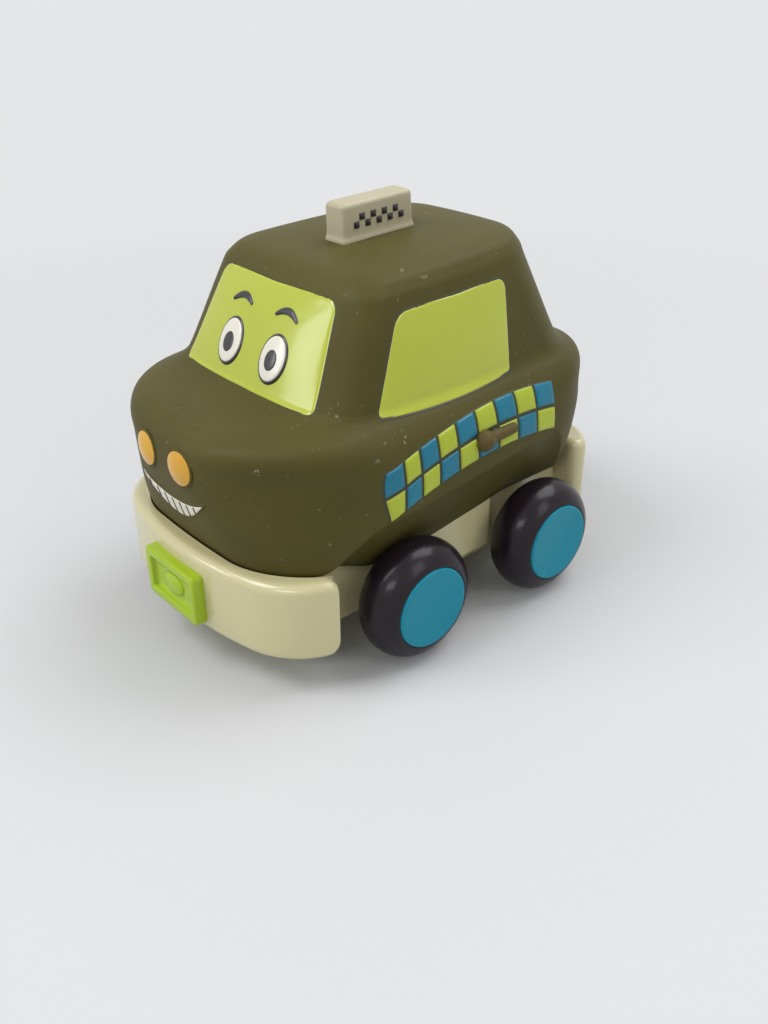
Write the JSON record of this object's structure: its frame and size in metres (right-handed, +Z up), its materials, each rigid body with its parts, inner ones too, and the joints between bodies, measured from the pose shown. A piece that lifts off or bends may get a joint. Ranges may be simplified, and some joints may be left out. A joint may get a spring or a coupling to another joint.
{
  "type": "toy taxi",
  "caption": "Pull-back toy taxi with a soft rounded body, lime windows, side checks, roof sign, cream bumpers and round wheels on turning axles.",
  "frame": {"origin": "on the ground under the middle of the bounding box", "axes": "+Z up, -Y towards the nose, +X towards the car's left side, along the axles"},
  "size_m": [0.094, 0.122, 0.1019],
  "materials": {
    "body_vinyl": "soft matte vinyl, olive",
    "panel_lime": "glossy lime paint",
    "check_blue": "glossy blue",
    "check_lime": "glossy lime",
    "lamp_amber": "glossy amber",
    "sign_cream": "satin cream",
    "chassis_cream": "glossy cream",
    "plate_lime": "glossy lime",
    "deck_grey": "moulded, unseen",
    "screw_steel": "zinc plated",
    "axle_steel": "drawn steel",
    "wheel_blue": "glossy blue",
    "tyre_black": "hard satin vinyl, near black",
    "gear_white": "acetal",
    "gear_amber": "acetal",
    "case_dark": "moulded, dark",
    "spring_steel": "tempered strip"
  },
  "bodies": {
    "vehicle": {"body_shell": "body_vinyl", "windscreen": "panel_lime", "rear_window": "panel_lime", "side_window_left": "panel_lime", "side_window_right": "panel_lime", "checks_blue": "check_blue", "checks_lime": "check_lime", "headlight_left": "lamp_amber", "headlight_right": "lamp_amber", "roof_sign": "sign_cream", "chassis_tray": "chassis_cream", "number_plate": "plate_lime", "chassis_deck": "deck_grey", "deck_screws": "screw_steel", "motor_case_left": "case_dark", "motor_case_right": "case_dark", "mainspring": "spring_steel", "motor_screws": "screw_steel"},
    "front_wheelset": {"front_axle": "axle_steel", "wheel_core_fl": "wheel_blue", "wheel_core_fr": "wheel_blue", "tyre_fl": "tyre_black", "tyre_fr": "tyre_black"},
    "rear_wheelset": {"rear_axle": "axle_steel", "axle_gear": "gear_white", "wheel_core_rl": "wheel_blue", "wheel_core_rr": "wheel_blue", "tyre_rl": "tyre_black", "tyre_rr": "tyre_black"},
    "idler": {"idler_gear": "gear_amber"},
    "spring_drum": {"spring_gear": "gear_amber"}
  },
  "joints": [
    {"name": "front_wheels_spin", "type": "hinge", "parent": "vehicle", "child": "front_wheelset", "pos_m": [0, -0.017, 0.0155], "axis": [1, 0, 0], "continuous": true},
    {"name": "rear_wheels_spin", "type": "hinge", "parent": "vehicle", "child": "rear_wheelset", "pos_m": [0, 0.0284, 0.0155], "axis": [1, 0, 0], "continuous": true},
    {"name": "idler_spin", "type": "hinge", "parent": "vehicle", "child": "idler", "pos_m": [0, 0.02261, 0.02377], "axis": [1, 0, 0], "continuous": true},
    {"name": "spring_gear_spin", "type": "hinge", "parent": "vehicle", "child": "spring_drum", "pos_m": [0, 0.01167, 0.02185], "axis": [1, 0, 0], "continuous": true}
  ],
  "couplings": [
    {"joint": "idler_spin", "follows": "rear_wheels_spin", "ratio": -0.42857},
    {"joint": "spring_gear_spin", "follows": "rear_wheels_spin", "ratio": 0.16071}
  ]
}
